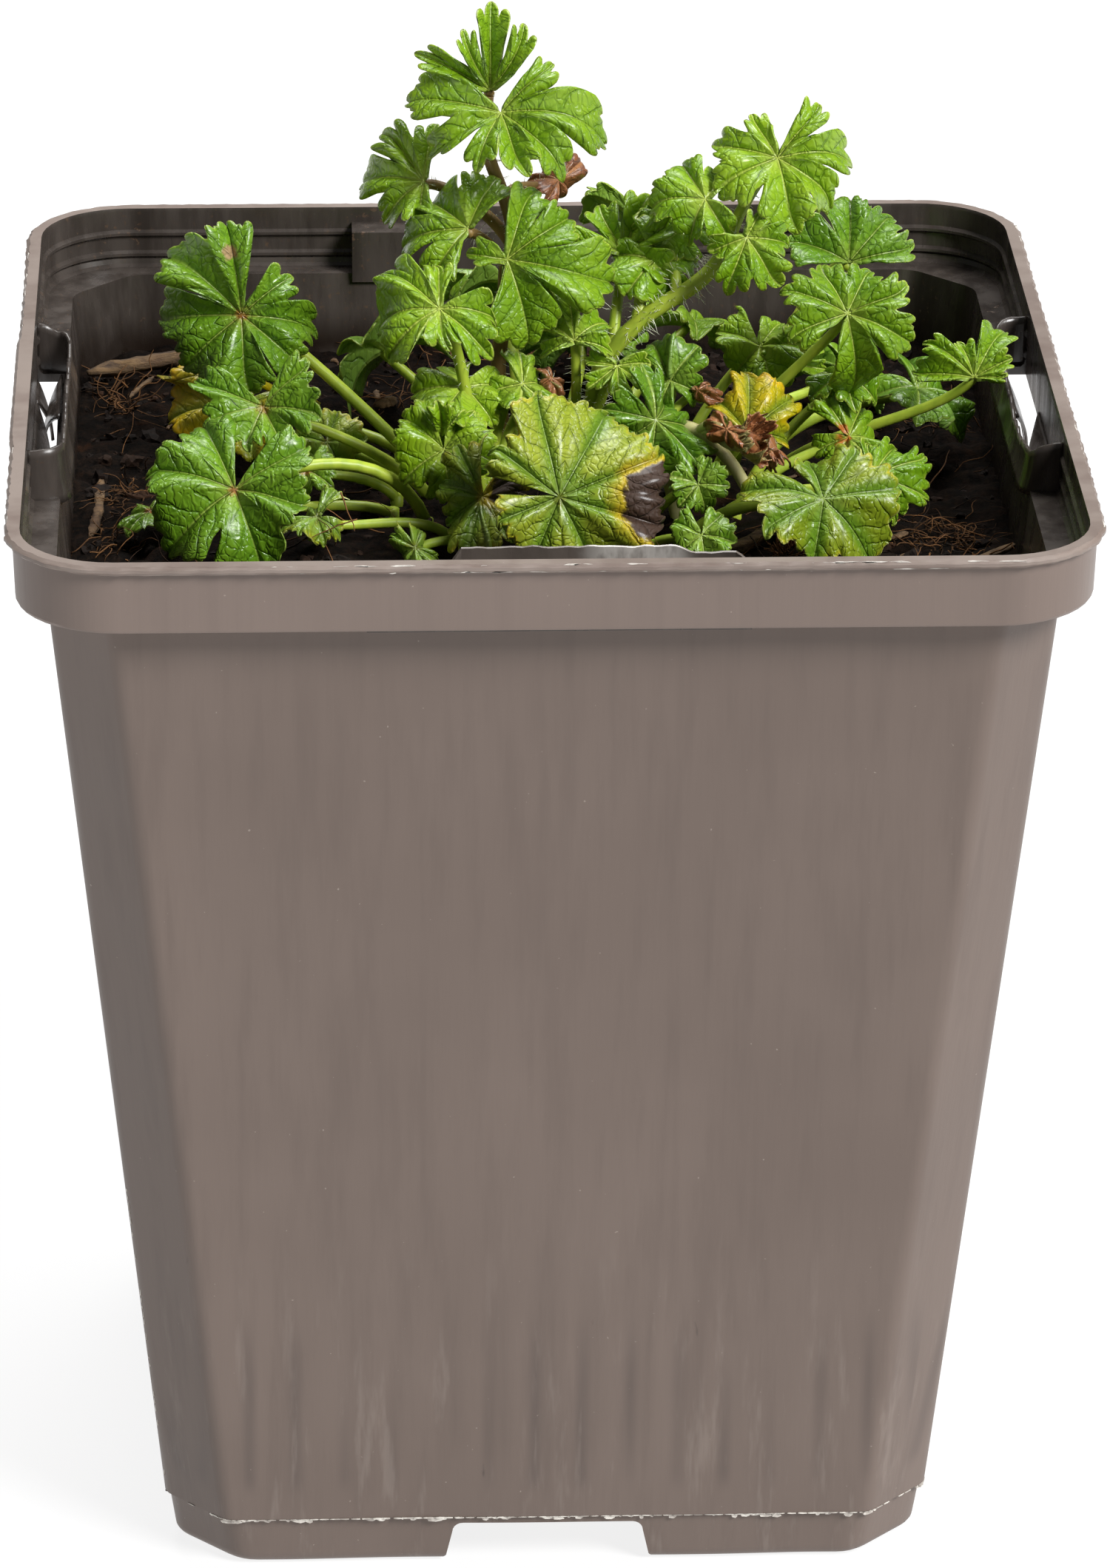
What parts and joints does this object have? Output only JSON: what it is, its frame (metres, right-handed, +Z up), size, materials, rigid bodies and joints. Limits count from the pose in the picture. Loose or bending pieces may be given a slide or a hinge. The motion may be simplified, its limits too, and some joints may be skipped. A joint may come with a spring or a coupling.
{
  "type": "potted mallow plant",
  "caption": "Young leafy musk mallow without flowers in a square tapered plastic nursery pot filled with dark compost.",
  "frame": {"origin": "middle of the pot's footprint, on the surface that the feet stand on", "axes": "+Z up through the plant, -Y towards the side shown to the front, +X to the right as seen from the front"},
  "size_m": [0.11, 0.11, 0.1567],
  "materials": {
    "pot_plastic": "taupe-grey thermoformed plastic, satin, faint vertical streaks and pale scuffs",
    "compost": "moist dark peat-like compost with bark fibres",
    "leaf_green": "glossy mid-green living leaf, veined, on a pale green stalk",
    "leaf_lime": "young light green leaf on a hairy yellow-green stem",
    "leaf_dark": "glossy dark green living leaf, veined",
    "leaf_yellow": "yellowing leaf with green left near the ribs",
    "leaf_olive": "ageing yellow-green leaf with a yellow edge",
    "leaf_brown": "dry brown curled leaf"
  },
  "bodies": {
    "root": {"pot": "pot_plastic", "compost": "compost", "stem_tall": "leaf_green", "stem_hairy": "leaf_lime", "shoot_right_high": "leaf_green", "shoot_right_back": "leaf_dark", "shoot_right_far": "leaf_green", "shoot_right_shade": "leaf_dark", "shoot_inner_right": "leaf_green", "shoot_right_low": "leaf_green", "leaf_right_spotted": "leaf_green", "leaf_right_corner": "leaf_green", "leaf_right_front": "leaf_olive", "leaf_yellow_right": "leaf_yellow", "leaf_dead_right": "leaf_brown", "leaf_front_round": "leaf_olive", "leaf_front_holed": "leaf_olive", "leaf_front_inner": "leaf_dark", "leaf_front_dark": "leaf_dark", "leaf_front_low": "leaf_dark", "shoot_middle": "leaf_lime", "bud_middle": "leaf_lime", "leaf_left_upper": "leaf_dark", "leaf_left_curled": "leaf_dark", "leaf_left_yellow": "leaf_yellow", "leaf_left_olive": "leaf_olive", "leaf_left_front": "leaf_dark", "leaf_left_edge": "leaf_dark", "leaf_left_small": "leaf_dark", "leaf_left_low": "leaf_yellow", "leaf_fallen_small": "leaf_yellow", "leaf_back_left": "leaf_green", "leaf_back_middle": "leaf_green", "leaf_back_low": "leaf_dark", "leaf_back_right": "leaf_lime", "leaf_back_corner": "leaf_dark"}
  },
  "joints": []
}
